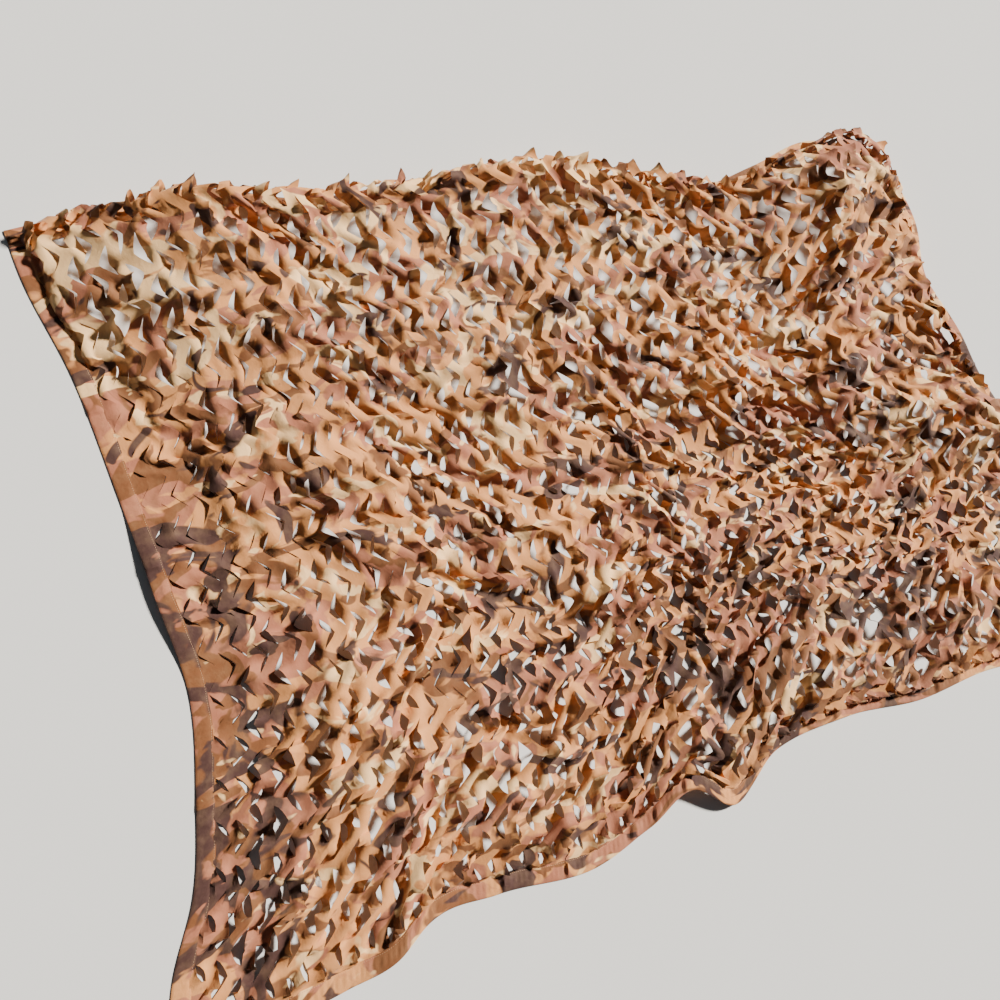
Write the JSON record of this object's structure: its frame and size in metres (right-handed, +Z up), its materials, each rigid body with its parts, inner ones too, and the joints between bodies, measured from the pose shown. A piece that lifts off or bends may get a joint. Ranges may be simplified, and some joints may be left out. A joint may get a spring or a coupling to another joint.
{
  "type": "camouflage net",
  "caption": "Slit-leaf camouflage net in a desert print with taped edges, pulled open and lying in soft folds, to cover or screen something",
  "frame": {"origin": "middle of the outline on the ground", "axes": "+X along the long side, +Y across from the near edge to the far edge that is turned over, +Z up"},
  "size_m": [3.2986, 2.3372, 0.2173],
  "materials": {
    "net_print": "woven polyester printed in sand, tan, rose brown and brown blotches, matt with a faint sheen",
    "edge_tape": "the same printed cloth folded into a tape and stitched, lightly creased"
  },
  "bodies": {
    "root": {"net_cloth": "net_print", "binding_front": "edge_tape", "binding_back": "edge_tape", "binding_left": "edge_tape", "binding_right": "edge_tape"}
  },
  "joints": []
}
